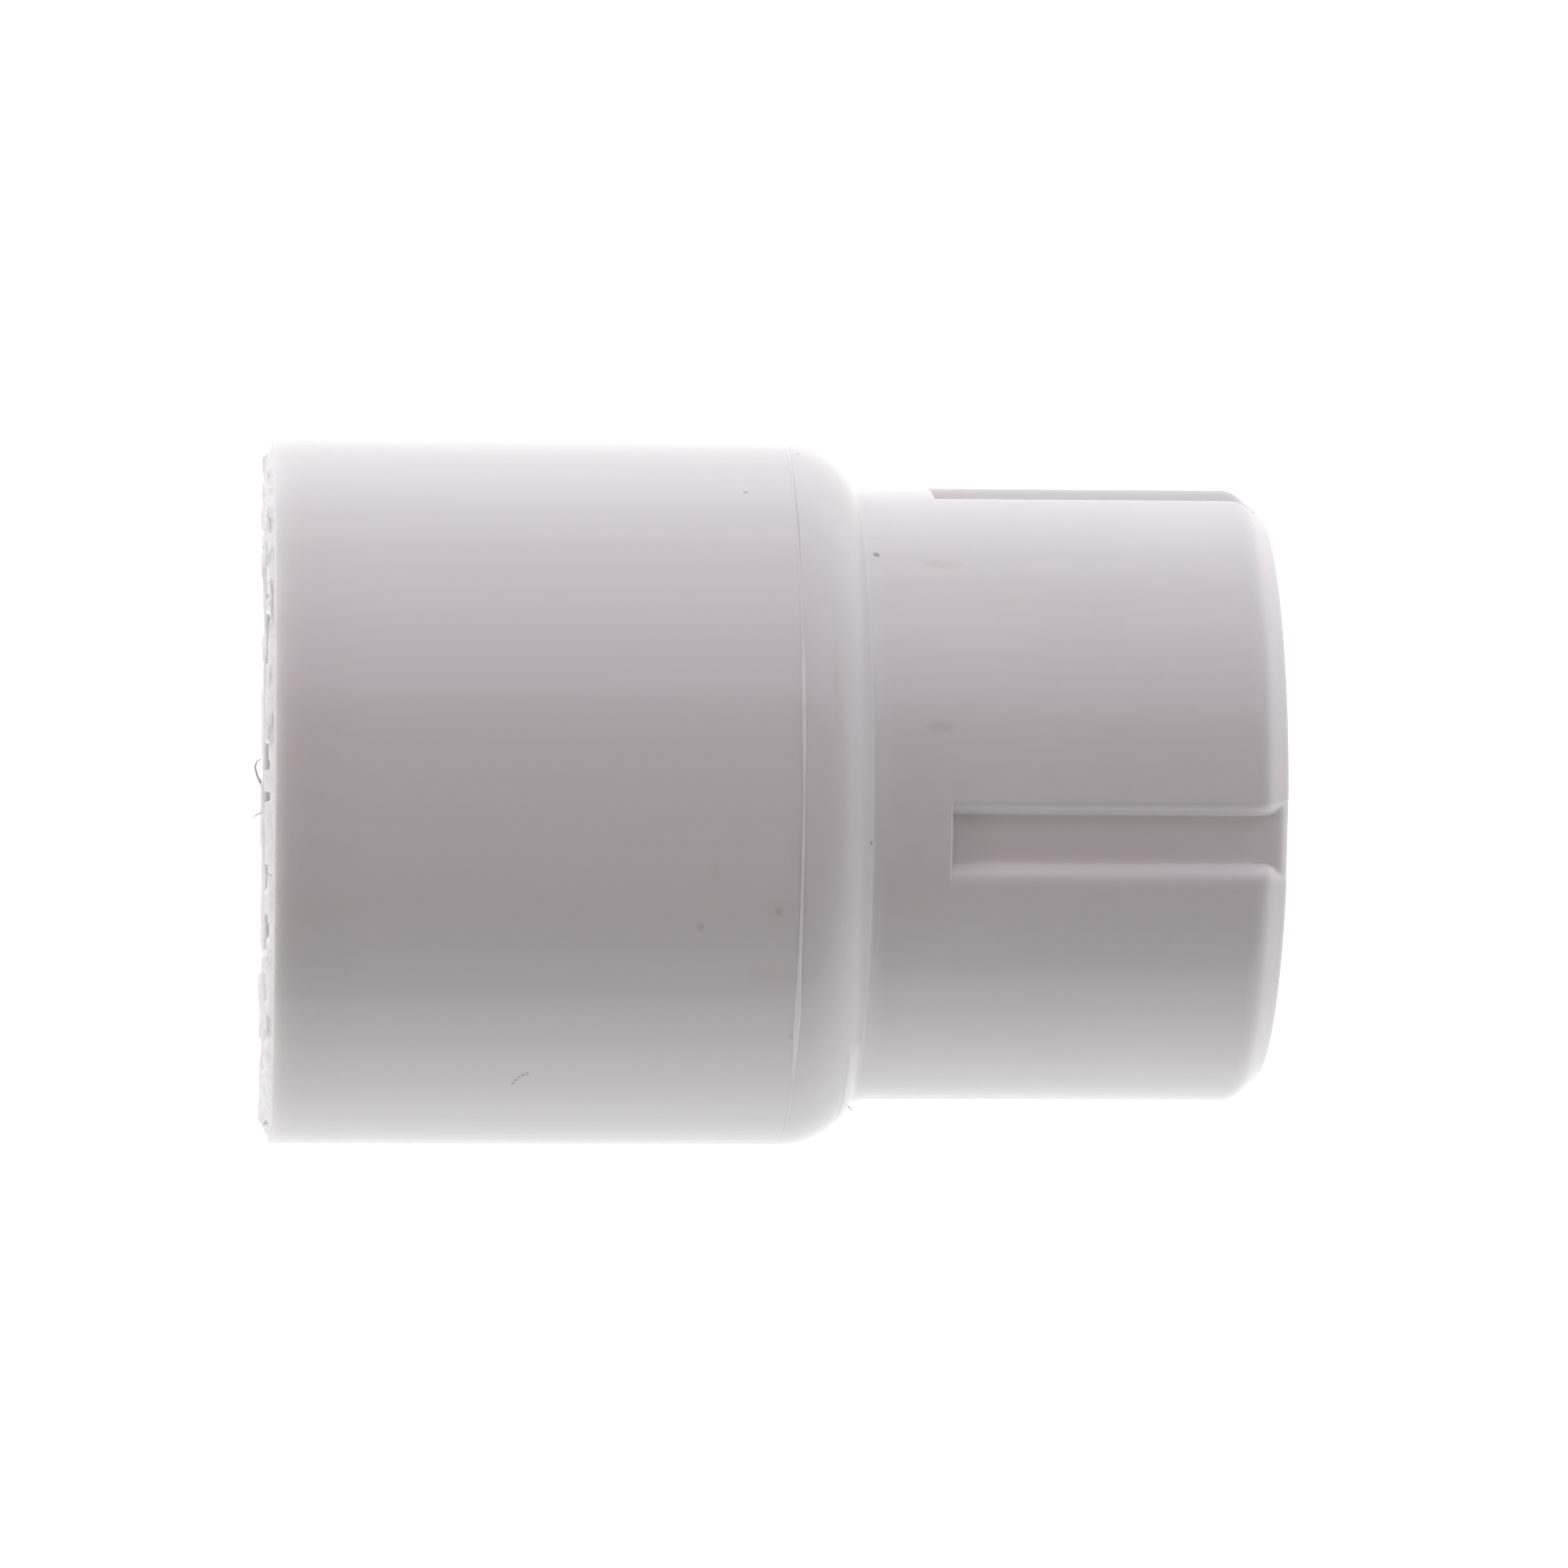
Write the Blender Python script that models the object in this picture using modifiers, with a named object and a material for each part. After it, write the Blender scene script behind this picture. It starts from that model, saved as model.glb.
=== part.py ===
"""Glued pipe cap: a sawn stub of 2-inch plastic pipe, closed by a moulded cap that is cemented into it.

The part lies on its side. +X runs along its axis to the closed nose, +Z is up, and z = 0 is the surface
that the pipe rests on. The origin is on that surface, under the middle of the part's length.
"""

import math

import bmesh
import bpy
from mathutils import Matrix, Vector

# All dimensions are in metres. A station is a distance along the axis from the pipe's smooth rim.
PIPE_RADIUS = 0.0301625  # 2-inch Schedule 40 pipe, 2.375 in across
BORE_RADIUS = 0.02625  # 2.067 in across
PIPE_END = 0.0430  # station of the pipe's end at the cap
RIM_CHAMFER = 0.00025

LIP_LENGTH = 0.0013  # the saw left the inner wall standing this far past the smooth rim
LIP_RADIUS = 0.02925

CEMENT_GAP = 0.0010  # between the pipe's end and the cap's flange
CLEARANCE = 0.0003  # between touching pieces
CEMENT_DEPTH = 0.0015
CEMENT_RADIUS = PIPE_RADIUS - 0.00001

TAIL_RADIUS = BORE_RADIUS - CLEARANCE
TAIL_LENGTH = 0.0286  # the usual socket depth of a 2-inch fitting
TAIL_CHAMFER = 0.0006
TAIL_BORE_RADIUS = 0.0212
NOSE_BORE_RADIUS = 0.0206  # the bore narrows a little towards the nose, as moulded bores do
BORE_FILLET = 0.0025
BORE_FILLET_SEGMENTS = 5
END_WALL = 0.0040

SHOULDER_START = 0.0434
SHOULDER_ARC = 0.0071
SHOULDER_SEGMENTS = 9
NECK_FILLET = 0.0007
NECK_FILLET_SEGMENTS = 4
NECK_ARC = 0.0050  # the shallow curve between the neck's fillet and the straight nose
NECK_ARC_SEGMENTS = 3
NECK_ARC_ANGLE = math.radians(18)
NOSE_RADIUS = 0.02625  # the nose slips into the bore of another 2-inch pipe
NOSE_ARC_START = 0.0814
NOSE_ARC = 0.0026
NOSE_ARC_SEGMENTS = 5
NOSE_CONE_ANGLE = math.radians(41)
NOSE_END = 0.0846

GROOVE_COUNT = 4
GROOVE_ANGLE = math.radians(-9.3)  # of the first groove, from straight up, turning towards +Y
GROOVE_HALF_OPENING = 0.0037  # from its middle to where its rounded edge meets the nose
GROOVE_DEPTH = 0.0019
GROOVE_EDGE = 0.0017
GROOVE_EDGE_SEGMENTS = 5
GROOVE_DRAFT = math.radians(5)  # of its side walls, from upright
GROOVE_START = 0.0563
CUTTER_MARGIN = 0.0020
CUTTER_LEAN = 0.0009  # the cutter widens by this over its margin, so that its edge meets the nose gently

FACETS = 96
MERGE = 0.000005

AXIS_HEIGHT = PIPE_RADIUS * math.cos(math.pi / FACETS)  # the pipe rests on one flat facet
RIM_X = LIP_LENGTH - (NOSE_END + LIP_LENGTH) / 2  # the smooth rim, with the whole length centred on x = 0

PVC_WHITE = (0.80, 0.775, 0.785, 1.0)
CEMENT_CLEAR = (0.86, 0.85, 0.86, 1.0)


def clear_scene():
    for item in list(bpy.data.objects):
        bpy.data.objects.remove(item, do_unlink=True)


def new_collection(name):
    collection = bpy.data.collections.new(name)
    bpy.context.scene.collection.children.link(collection)
    return collection


def plastic(name, color, roughness):
    material = bpy.data.materials.new(name)
    material.use_nodes = True
    shader = material.node_tree.nodes["Principled BSDF"]
    shader.inputs["Base Color"].default_value = color
    shader.inputs["Roughness"].default_value = roughness
    shader.inputs["Metallic"].default_value = 0.0
    return material


def arc(center, radius, start, stop, segments):
    """Points (radius from the axis, station) on an arc; angles run from the outward direction to the nose."""
    points = []
    for step in range(segments + 1):
        angle = start + (stop - start) * step / segments
        points.append((center[0] + radius * math.cos(angle), center[1] + radius * math.sin(angle)))
    return points


def turned(name, collection, material, profile, closed):
    """A body of revolution about the axis, from a profile of (radius, station) points."""
    mesh = bpy.data.meshes.new(name)
    points = [(radius, 0.0, station) for radius, station in profile]
    edges = [(index, index + 1) for index in range(len(points) - 1)]
    if closed:
        edges.append((len(points) - 1, 0))
    mesh.from_pydata(points, edges, [])
    body = bpy.data.objects.new(name, mesh)
    collection.objects.link(body)
    body.location = (RIM_X, 0.0, AXIS_HEIGHT)
    turn = Matrix.Rotation(math.pi / 2, 3, "Y") @ Matrix.Rotation(math.pi / FACETS, 3, "Z")
    body.rotation_euler = turn.to_euler()
    screw = body.modifiers.new("Turn", "SCREW")
    screw.axis = "Z"
    screw.angle = 2 * math.pi
    screw.steps = FACETS
    screw.render_steps = FACETS
    screw.use_merge_vertices = True
    screw.merge_threshold = MERGE
    screw.use_smooth_shade = True
    mesh.materials.append(material)
    return body


def pipe_stub(collection, material):
    """The sawn pipe: a clean outer skin up to the rim, and an inner wall that stands past it."""
    profile = [
        (PIPE_RADIUS - RIM_CHAMFER, PIPE_END),
        (PIPE_RADIUS, PIPE_END - RIM_CHAMFER),
        (PIPE_RADIUS, RIM_CHAMFER),
        (PIPE_RADIUS - RIM_CHAMFER, 0.0),
        (LIP_RADIUS, 0.0),
        (LIP_RADIUS, -LIP_LENGTH),
        (BORE_RADIUS, -LIP_LENGTH),
        (BORE_RADIUS, PIPE_END),
    ]
    return turned("pipe_stub", collection, material, profile, closed=True)


def cement_bead(collection, material):
    """The ring of set cement in the butt joint between the pipe and the cap."""
    low = PIPE_END + CLEARANCE
    high = PIPE_END + CEMENT_GAP - CLEARANCE
    crown = (low + high) / 2
    profile = [
        (CEMENT_RADIUS, crown),
        (CEMENT_RADIUS - (high - low) / 2, low),
        (PIPE_RADIUS - CEMENT_DEPTH, low),
        (PIPE_RADIUS - CEMENT_DEPTH, high),
        (CEMENT_RADIUS - (high - low) / 2, high),
    ]
    return turned("cement_bead", collection, material, profile, closed=True)


def nose_end_profile():
    """The flat end face, its crisp edge, the short cone and the arc that meets the straight nose."""
    arc_center = (NOSE_RADIUS - NOSE_ARC, NOSE_ARC_START)
    rounding = arc(arc_center, NOSE_ARC, NOSE_CONE_ANGLE, 0.0, NOSE_ARC_SEGMENTS)
    cone_top, cone_station = rounding[0]
    rim = cone_top - (NOSE_END - cone_station) * math.tan(NOSE_CONE_ANGLE)
    return [(0.0, NOSE_END), (rim, NOSE_END)] + rounding


def shoulder_profile():
    """From the straight nose back: the shallow neck curve, the tight fillet and the round shoulder, all tangent."""
    shoulder_center = (PIPE_RADIUS - SHOULDER_ARC, SHOULDER_START)
    neck_height = NOSE_RADIUS + NECK_ARC
    inset = NECK_ARC - NECK_FILLET
    fillet_height = neck_height - inset * math.cos(NECK_ARC_ANGLE)
    rise = fillet_height - shoulder_center[0]
    run = math.sqrt((SHOULDER_ARC + NECK_FILLET) ** 2 - rise**2)
    fillet_center = (fillet_height, SHOULDER_START + run)
    neck_center = (neck_height, fillet_center[1] + inset * math.sin(NECK_ARC_ANGLE))
    meeting = math.atan2(run, rise)
    flange = math.asin((PIPE_END + CEMENT_GAP - SHOULDER_START) / SHOULDER_ARC)
    neck = arc(neck_center, NECK_ARC, math.pi, math.pi + NECK_ARC_ANGLE, NECK_ARC_SEGMENTS)
    fillet = arc(fillet_center, NECK_FILLET, math.pi + NECK_ARC_ANGLE, math.pi + meeting, NECK_FILLET_SEGMENTS)
    shoulder = arc(shoulder_center, SHOULDER_ARC, meeting, flange, SHOULDER_SEGMENTS)
    return neck + fillet[1:] + shoulder[1:]


def inside_profile():
    """Flange face, tail, and the blind bore up to the middle of the end wall."""
    flange = PIPE_END + CEMENT_GAP
    tail_end = flange - TAIL_LENGTH
    wall = NOSE_END - END_WALL
    fillet_center = (NOSE_BORE_RADIUS - BORE_FILLET, wall - BORE_FILLET)
    tail = [
        (TAIL_RADIUS, flange),
        (TAIL_RADIUS, tail_end + TAIL_CHAMFER),
        (TAIL_RADIUS - TAIL_CHAMFER, tail_end),
        (TAIL_BORE_RADIUS, tail_end),
    ]
    return tail + arc(fillet_center, BORE_FILLET, 0.0, math.pi / 2, BORE_FILLET_SEGMENTS) + [(0.0, wall)]


def groove_outline():
    """Half section of a groove's cutter, as (sideways, outwards) points from its floor to outside the nose."""
    floor = NOSE_RADIUS - GROOVE_DEPTH
    center_side = (NOSE_RADIUS - GROOVE_EDGE) * GROOVE_HALF_OPENING / NOSE_RADIUS
    center_out = math.sqrt((NOSE_RADIUS - GROOVE_EDGE) ** 2 - center_side**2)
    outward = math.atan2(center_out, center_side)
    wall = math.pi - GROOVE_DRAFT
    wall_side = center_side + GROOVE_EDGE * math.cos(wall)
    wall_out = center_out + GROOVE_EDGE * math.sin(wall)
    points = [(wall_side - (wall_out - floor) * math.tan(GROOVE_DRAFT), floor)]
    for step in range(GROOVE_EDGE_SEGMENTS):
        angle = wall + (outward - wall) * step / GROOVE_EDGE_SEGMENTS
        points.append((center_side + GROOVE_EDGE * math.cos(angle), center_out + GROOVE_EDGE * math.sin(angle)))
    side, out = points[-1]
    points.append((side + CUTTER_LEAN, out + CUTTER_MARGIN))
    return points


def groove_cutter(collection):
    """One groove's cutter along +X, with its floor at the right height above the axis."""
    half = groove_outline()
    outline = half + [(-side, out) for side, out in reversed(half)]
    length = NOSE_END + CUTTER_MARGIN - GROOVE_START
    curve = bpy.data.curves.new("groove_outline", "CURVE")
    curve.dimensions = "2D"
    curve.fill_mode = "BOTH"
    curve.extrude = length / 2
    spline = curve.splines.new("POLY")
    spline.points.add(len(outline) - 1)
    for point, (side, out) in zip(spline.points, outline):
        point.co = (side, out, 0.0, 1.0)
    spline.use_cyclic_u = True
    drawn = bpy.data.objects.new("groove_outline", curve)
    collection.objects.link(drawn)
    bpy.context.view_layer.update()
    evaluated = drawn.evaluated_get(bpy.context.evaluated_depsgraph_get())
    mesh = bpy.data.meshes.new_from_object(evaluated)
    bpy.data.objects.remove(drawn, do_unlink=True)
    form = bmesh.new()
    form.from_mesh(mesh)
    bmesh.ops.remove_doubles(form, verts=form.verts, dist=MERGE)
    # The outline was drawn in XY and extruded along Z: turn its sideways to +Y, its outwards to +Z.
    stand = Matrix((Vector((0.0, 0.0, 1.0)), Vector((1.0, 0.0, 0.0)), Vector((0.0, 1.0, 0.0))))
    middle = Matrix.Translation((GROOVE_START + length / 2, 0.0, 0.0))
    bmesh.ops.transform(form, matrix=middle @ stand.to_4x4(), verts=form.verts)
    bmesh.ops.recalc_face_normals(form, faces=form.faces)
    form.to_mesh(mesh)
    form.free()
    return mesh


def cap_body(collection, cutters, material):
    """The moulded cap: tail inside the pipe, round shoulder, and a grooved nose closed by a flat wall."""
    profile = nose_end_profile() + shoulder_profile() + inside_profile()
    body = turned("cap_body", collection, material, profile, closed=False)
    cutter_mesh = groove_cutter(cutters)
    for index in range(GROOVE_COUNT):
        cutter = bpy.data.objects.new(f"groove_cutter_{index + 1}", cutter_mesh)
        cutters.objects.link(cutter)
        cutter.location = (RIM_X, 0.0, AXIS_HEIGHT)
        cutter.rotation_euler = (-GROOVE_ANGLE - index * 2 * math.pi / GROOVE_COUNT, 0.0, 0.0)
        cutter.display_type = "WIRE"
        cutter.hide_render = True
        cut = body.modifiers.new(f"Groove {index + 1}", "BOOLEAN")
        cut.operation = "DIFFERENCE"
        cut.solver = "EXACT"
        cut.object = cutter
    return body


def build():
    clear_scene()
    parts = new_collection("pipe_cap")
    cutters = new_collection("cutters")
    pvc = plastic("white_pvc", PVC_WHITE, 0.35)
    cement = plastic("set_cement", CEMENT_CLEAR, 0.22)
    pipe_stub(parts, pvc)
    cap_body(parts, cutters, pvc)
    cement_bead(parts, cement)
    bpy.context.view_layer.update()


build()
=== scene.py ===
"""Looks of the glued pipe cap on a light table: sawn pipe stub, moulded cap and the cement ring between them.

Lengths are in millimetres until a mesh is made. A station is a distance along the axis from the pipe's
smooth rim towards the nose. An angle is measured round the axis from straight up, turning towards +Y.
"""
import math
import random

import bmesh
import bpy
import numpy as np
from mathutils import Matrix, Vector


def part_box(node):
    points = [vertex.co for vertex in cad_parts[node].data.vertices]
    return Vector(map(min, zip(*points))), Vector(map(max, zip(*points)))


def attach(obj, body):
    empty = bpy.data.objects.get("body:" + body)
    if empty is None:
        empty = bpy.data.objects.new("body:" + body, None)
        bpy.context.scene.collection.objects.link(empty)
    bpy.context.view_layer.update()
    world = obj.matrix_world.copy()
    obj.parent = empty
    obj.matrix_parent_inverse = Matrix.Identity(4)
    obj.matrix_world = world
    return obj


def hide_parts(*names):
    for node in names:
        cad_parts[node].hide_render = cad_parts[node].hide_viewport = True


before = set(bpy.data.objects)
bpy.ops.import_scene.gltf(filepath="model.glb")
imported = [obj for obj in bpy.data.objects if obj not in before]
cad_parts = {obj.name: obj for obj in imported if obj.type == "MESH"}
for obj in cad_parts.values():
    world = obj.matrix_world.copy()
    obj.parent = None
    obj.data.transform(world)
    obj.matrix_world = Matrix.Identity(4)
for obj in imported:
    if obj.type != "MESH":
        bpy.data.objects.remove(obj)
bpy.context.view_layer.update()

MM = 0.001

# ---------------------------------------------------------------- sizes, from the frame where it has them
STUB_LOW, STUB_HIGH = [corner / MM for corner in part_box("pipe_stub")]
CAP_LOW, CAP_HIGH = [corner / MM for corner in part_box("cap_body")]
AXIS_Z = (STUB_LOW.z + STUB_HIGH.z) / 2
PIPE_R = (STUB_HIGH.y - STUB_LOW.y) / 2
BORE_R = 26.25
LIP_REACH = 1.3
LIP_R = 29.2
LIP_SHORTER_BELOW = 0.33  # how much less the lip reaches on its lowest side
LIP_DIP = 0.2  # and round one more angle, in degrees, with the spread there
LIP_DIP_ANGLE = 148
LIP_DIP_SPREAD = 9
RIM_X = STUB_LOW.x + LIP_REACH
NOSE_END = CAP_HIGH.x - RIM_X
TAIL_END = CAP_LOW.x - RIM_X

SEAM = 43.55
SHOULDER_START = 43.4
SHOULDER_ARC = 7.1
NECK_FILLET = 0.7
NECK_ARC = 5.0
NECK_ARC_ANGLE = math.radians(18)
NOSE_R = 26.25
NOSE_ARC_START = 81.4
NOSE_ARC = 2.6
NOSE_CONE = math.radians(41)
TAIL_R = 26.22
TAIL_BORE_R = 21.2
NOSE_BORE_R = 20.6
BORE_FILLET = 2.5
END_WALL = 4.0

GROOVES = 4
GROOVE_ANGLE = math.radians(-9.3)
GROOVE_HALF_OPENING = 3.7
GROOVE_FLOOR = 24.35
GROOVE_DRAFT = math.radians(5)
GROOVE_START = 56.3
GROOVE_END_CORNER = 0.4
GROOVE_END_EDGE = 0.32
GROOVE_FULL = 9.0  # deeper than any groove, for the rows where nothing limits it
GROOVE_DIP_START = 83.1  # from here to the open end, the floor falls away with the cube of the distance
GROOVE_DIP = 0.22
GROOVE_FLARE_START = 82.8  # and from here its rounded edges fall more steeply
GROOVE_FLARE_REACH = 0.8
GROOVE_FLARE = 0.3

FLASH_RISE = (48.25, 48.45)  # stations between which the neck's smear of flash rises, and falls again
FLASH_FALL = (49.3, 49.55)


def place(station, radius, angle):
    """A point in the row frame, in metres, from its station, radius and angle."""
    x = (RIM_X + station) * MM + 0 * angle
    y = radius * np.sin(angle) * MM
    z = (AXIS_Z + radius * np.cos(angle)) * MM
    return np.stack(np.broadcast_arrays(x, y, z), axis=-1)


# ---------------------------------------------------------------- mesh tools
def ring_faces(rows, columns, loop):
    """Quads between rows of points that close round the axis. loop also joins the last row to the first."""
    faces = []
    last = rows if loop else rows - 1
    for row in range(last):
        above = row * columns
        below = ((row + 1) % rows) * columns
        for column in range(columns):
            right = (column + 1) % columns
            faces.append((above + column, below + column, below + right, above + right))
    return faces


def grid_mesh(grid, loop, poles=()):
    """A closed mesh from rows of points round the axis. poles are the middles that close its two ends."""
    rows, columns = grid.shape[:2]
    points = grid.reshape(-1, 3).tolist()
    faces = ring_faces(rows, columns, loop)
    for pole, row in zip(poles, (0, rows - 1)):
        middle = len(points)
        points.append(tuple(pole))
        start = row * columns
        faces += [(middle, start + column, start + (column + 1) % columns) for column in range(columns)]
    return points, faces


def finish_mesh(name, shells, material, sharp_angle):
    """One object from closed shells of (points, faces), with its normals out and its hard edges kept."""
    points = []
    faces = []
    for shell_points, shell_faces in shells:
        offset = len(points)
        points += shell_points
        faces += [tuple(index + offset for index in face) for face in shell_faces]
    mesh = bpy.data.meshes.new(name)
    mesh.from_pydata(points, [], faces)
    form = bmesh.new()
    form.from_mesh(mesh)
    bmesh.ops.recalc_face_normals(form, faces=form.faces)
    form.to_mesh(mesh)
    form.free()
    mesh.shade_smooth()
    mesh.set_sharp_from_angle(angle=sharp_angle)
    mesh.materials.append(material)
    made = bpy.data.objects.new(name, mesh)
    bpy.context.scene.collection.objects.link(made)
    return made


def arc(center, radius, start, stop, segments):
    """Points (radius from the axis, station) on an arc; angles run from the outward direction to the nose."""
    points = []
    for step in range(segments + 1):
        angle = start + (stop - start) * step / segments
        points.append((center[0] + radius * math.cos(angle), center[1] + radius * math.sin(angle)))
    return points


# ---------------------------------------------------------------- ragged edges
def blurred(values, width):
    """A closed ring of values, averaged over width neighbours, twice."""
    for _ in range(2):
        values = sum(np.roll(values, shift) for shift in range(-(width // 2), width // 2 + 1))
        values = values / (2 * (width // 2) + 1)
    return values


def plateaus(seed, count, low, high, columns, blend):
    """Torn steps round a ring: stretches of random length and height, with their corners eased."""
    dice = random.Random(seed)
    lengths = [dice.uniform(0.35, 1.8) for _ in range(count)]
    total = sum(lengths)
    values = np.empty(columns)
    start = 0.0
    for length in lengths:
        stop = start + length / total * columns
        values[int(start):int(math.ceil(stop))] = dice.uniform(low, high)
        start = stop
    return blurred(values, blend)


def grit(seed, columns, size, blend):
    """Fine random unevenness round a ring, up to size either way."""
    noise = np.random.RandomState(seed).uniform(-size, size, columns)
    return blurred(noise, blend) if blend > 1 else noise


# ---------------------------------------------------------------- pipe stub
STUB_COLUMNS = 1080


def stub_rows():
    """Rows (stations, radii) round the wall of the stub: skin, rim, torn lip, bore and hidden end."""
    n = STUB_COLUMNS
    flat = np.zeros(n)
    rows = []

    def row(station, radius):
        rows.append((flat + station, flat + radius))

    for station, drop in ((SEAM - 0.1, 0.12), (SEAM - 0.14, 0.04), (SEAM - 0.25, 0.0)):
        row(station, PIPE_R - drop)
    for station in np.linspace(41.5, 1.5, 17):
        row(station, PIPE_R)
    rim_wave = grit(5, n, 0.04, 9) - 0.15
    for station, drop in ((0.5, 0.0), (0.2, 0.01), (0.08, 0.03), (0.03, 0.07), (0.0, 0.13)):
        row(station + rim_wave * (1 - station * 2), PIPE_R - drop)

    turned_down = 0.5 - 0.5 * np.cos(np.arange(n) * 2 * math.pi / n)
    degrees = np.arange(n) * 360 / n
    dip = LIP_DIP * np.exp(-((degrees - LIP_DIP_ANGLE) / LIP_DIP_SPREAD) ** 2)
    reach = 1.0 - LIP_SHORTER_BELOW * turned_down**3 - dip
    pocket = np.clip(plateaus(11, 100, -0.9, 0.5, n, 3), -0.02, 0.2) - 0.12 + grit(12, n, 0.03, 3)
    lip_edge = LIP_R + plateaus(13, 90, -0.2, 0.3, n, 3) + grit(14, n, 0.02, 3)
    low_step = (plateaus(15, 120, 0.26, 0.62, n, 1) + grit(16, n, 0.03, 3)) * reach
    high_step = plateaus(17, 96, 0.45, 1.0, n, 1) + grit(18, n, 0.04, 3)
    high_step = np.maximum(high_step * reach, low_step + 0.02)
    inner_step = np.minimum(high_step, plateaus(19, 90, 0.2, 0.9, n, 3) * reach + grit(20, n, 0.04, 3))
    ledge = 28.55 + plateaus(21, 80, -0.3, 0.35, n, 3)
    torn = grit(22, n, 0.05, 3)

    rows.append((rim_wave + 0.02, PIPE_R - 0.3 + torn))
    rows.append((pocket * 0.7, (lip_edge + PIPE_R) / 2))
    rows.append((pocket, lip_edge + 0.14))
    rows.append((pocket * 0.6 - 0.02, lip_edge))
    rows.append((-low_step * 0.3, lip_edge - 0.08 + torn * 0.5))
    rows.append((-low_step * 0.65, lip_edge - 0.2))
    rows.append((-low_step * 0.9, lip_edge - 0.34))
    rows.append((-low_step + torn * 0.5, lip_edge - 0.46))
    rows.append((-low_step * 0.98, ledge + 0.08))
    rows.append((-(low_step + high_step) / 2, ledge - 0.02 + torn * 0.5))
    rows.append((-high_step * 0.93, ledge - 0.12))
    rows.append((-high_step, ledge - 0.26))
    rows.append((-high_step - torn * 0.2, flat + 27.75))
    rows.append((-high_step * 0.98 - torn * 0.2, flat + 27.35))
    rows.append((-(high_step + inner_step) / 2, flat + 27.15 + torn * 0.5))
    rows.append((-inner_step - torn * 0.2, flat + 26.85))
    rows.append((-inner_step * 0.95, flat + 26.5 + torn * 0.5))
    rows.append((-inner_step * 0.8, flat + BORE_R + 0.08 + torn * 0.3))
    rows.append((-inner_step * 0.5, flat + BORE_R + torn * 0.2))
    for station in (0.3, 1.0, 2.5):
        row(station, BORE_R)
    for station in np.linspace(4.5, SEAM - 0.1, 12):
        row(station, BORE_R)
    row(SEAM - 0.1, (BORE_R + PIPE_R) / 2)
    return rows


def whisker(path, width, sides=6):
    """A thin tapered strand of torn plastic along a path of points in metres, closed at both ends."""
    points = []
    path = [Vector(point) for point in path]
    for index, point in enumerate(path):
        ahead = path[min(index + 1, len(path) - 1)]
        behind = path[max(index - 1, 0)]
        along = (ahead - behind).normalized()
        side = along.cross(Vector((0.0, 0.3, 1.0))).normalized()
        up = along.cross(side)
        size = width * MM * (1.0 - 0.75 * index / (len(path) - 1))
        for corner in range(sides):
            turn = 2 * math.pi * corner / sides
            points.append(tuple(point + side * math.cos(turn) * size + up * math.sin(turn) * size * 0.5))
    faces = ring_faces(len(path), sides, loop=False)
    faces.append(tuple(range(sides)))
    faces.append(tuple(range(len(points) - sides, len(points))))
    return points, faces


def torn_strands():
    """Chips and hairs that the saw left on the lip: one curled chip, one long hair and some short ones."""
    below = math.pi  # both stand on the lip's lowest part, and show past its top
    curl = [(-0.1, 27.6, below + 0.01), (-0.45, 27.9, below - 0.02), (-0.8, 28.1, below - 0.045),
            (-1.02, 28.1, below - 0.073), (-0.85, 28.0, below - 0.092), (-0.45, 27.8, below - 0.1)]
    hair = [(-0.1, 27.6, below + 0.07), (-0.55, 27.8, below + 0.073), (-0.95, 27.9, below + 0.08),
            (-1.27, 27.9, below + 0.091)]
    shells = [
        whisker([place(*point) for point in curl], 0.17),
        whisker([place(*point) for point in hair], 0.1),
    ]
    dice = random.Random(31)
    for _ in range(16):
        angle = dice.uniform(0, 2 * math.pi)
        radius = dice.uniform(26.6, 29.0)
        reach = dice.uniform(0.2, 0.5)
        lean = dice.uniform(-0.02, 0.02)
        shares = (0, 0.4, 0.75, 1.0)
        path = [place(-reach * share - 0.3, radius, angle + lean * share * share) for share in shares]
        shells.append(whisker(path, dice.uniform(0.04, 0.1)))
    return shells


def make_stub(material, strand_material):
    stations, radii = zip(*stub_rows())
    angles = np.arange(STUB_COLUMNS) * 2 * math.pi / STUB_COLUMNS
    grid = place(np.array(stations), np.array(radii), angles[None, :])
    wall = grid_mesh(grid, loop=True)
    stub = finish_mesh("pipe_stub_sawn", [wall] + torn_strands(), material, math.radians(38))
    stub.data.materials.append(strand_material)
    for face in stub.data.polygons[len(wall[1]):]:
        face.material_index = 1
    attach(stub, "root")
    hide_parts("pipe_stub")
    return stub


# ---------------------------------------------------------------- moulded cap
PLAIN_COLUMNS = 58


def groove_curve(bends):
    """One side of a groove's section on the straight nose: (sideways, fall from the surface), middle first.

    bends are the arcs of its rounded edge, from the surface in, as (radius, slope reached).
    """
    side = GROOVE_HALF_OPENING
    out = math.sqrt(NOSE_R**2 - side**2)
    slope = -math.asin(side / NOSE_R)
    points = [(side, out)]
    for radius, reached in bends:
        for step in range(1, 8):
            now = slope + (reached - slope) * step / 7
            points.append((side - radius * (math.sin(now) - math.sin(slope)),
                           out - radius * (math.cos(slope) - math.cos(now))))
        side, out = points[-1]
        slope = reached
    corner = side - (out - GROOVE_FLOOR) * math.tan(GROOVE_DRAFT)
    eased_corner = ((0.02, 0.04), (-0.04, 0.01), (-0.1, 0.0))
    points += [(corner + sideways, GROOVE_FLOOR + up) for sideways, up in eased_corner]
    points += [((corner - 0.1) * share, GROOVE_FLOOR) for share in (0.78, 0.55, 0.33, 0.11)]
    sides = np.array([side for side, out in reversed(points)])
    outs = np.array([out for side, out in reversed(points)])
    return sides, np.maximum(np.sqrt(NOSE_R**2 - sides**2) - outs, 0.0)


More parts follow.
